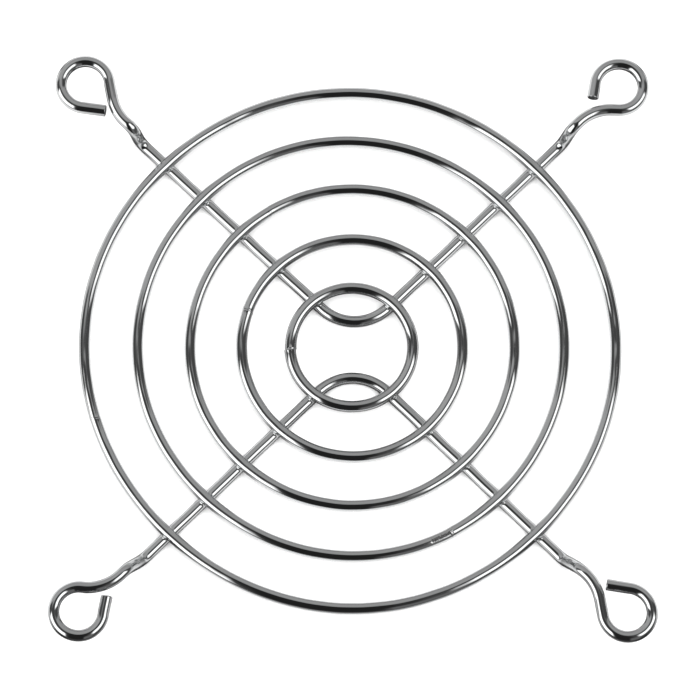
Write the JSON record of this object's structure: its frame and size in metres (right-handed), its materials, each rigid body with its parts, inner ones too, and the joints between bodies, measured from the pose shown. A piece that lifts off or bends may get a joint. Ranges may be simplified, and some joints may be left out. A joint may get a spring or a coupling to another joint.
{
  "type": "wire fan guard",
  "caption": "Wire finger guard for a small axial fan: concentric rings welded across bent cross wires that end in open screw eyes.",
  "frame": {"origin": "midway between the four screw eyes, on the plane that the straight legs rest on", "axes": "+Z towards the side that faces the fan, +Y towards the eyes of the upper cross wire, +X to the right of the picture"},
  "size_m": [0.0916, 0.0916, 0.0061],
  "materials": {
    "plated_wire": "bright plated steel wire"
  },
  "bodies": {
    "root": {"ring_1": "plated_wire", "ring_2": "plated_wire", "ring_3": "plated_wire", "ring_4": "plated_wire", "ring_5": "plated_wire", "upper_cross_wire": "plated_wire", "lower_cross_wire": "plated_wire"}
  },
  "joints": []
}
